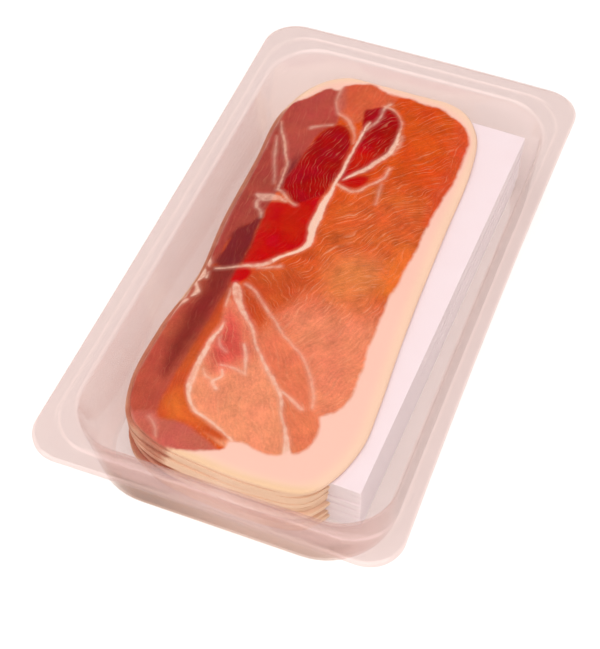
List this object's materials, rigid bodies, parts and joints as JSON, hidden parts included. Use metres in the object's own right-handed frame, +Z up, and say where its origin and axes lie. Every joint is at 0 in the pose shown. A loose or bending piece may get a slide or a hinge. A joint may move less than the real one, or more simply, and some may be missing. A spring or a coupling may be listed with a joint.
{
  "type": "sealed tray of sliced ham",
  "caption": "Clear thermoformed tray with a wide flange and a clear lidding film, holding a stack of dry-cured ham slices interleaved with white sheets.",
  "frame": {"origin": "middle of the tray's base, on the surface it stands on", "axes": "+Z up, +Y along the pack's length towards its far end, +X to its right"},
  "size_m": [0.1594, 0.2808, 0.0426],
  "materials": {
    "tray_plastic": "clear thermoformed plastic, faintly warm, glossy",
    "lid_film": "clear lidding film, glossy",
    "ham": "cured meat, moist, with cream fat",
    "ham_top": "cured meat, moist, with cream fat seams",
    "interleaf": "white matt interleaf sheet"
  },
  "bodies": {
    "root": {"tray": "tray_plastic", "lid_film": "lid_film", "ham_slice_01": "ham", "ham_slice_02": "ham", "ham_slice_03": "ham", "ham_slice_04": "ham", "ham_slice_05": "ham", "ham_slice_06": "ham", "ham_slice_07": "ham", "ham_slice_08": "ham", "ham_slice_09": "ham", "ham_slice_10": "ham", "ham_slice_11": "ham", "ham_slice_12": "ham", "ham_slice_top": "ham_top", "interleaf_01": "interleaf", "interleaf_02": "interleaf", "interleaf_03": "interleaf", "interleaf_04": "interleaf", "interleaf_05": "interleaf", "interleaf_06": "interleaf", "interleaf_07": "interleaf", "interleaf_08": "interleaf", "interleaf_09": "interleaf", "interleaf_10": "interleaf", "interleaf_11": "interleaf", "interleaf_12": "interleaf"}
  },
  "joints": []
}
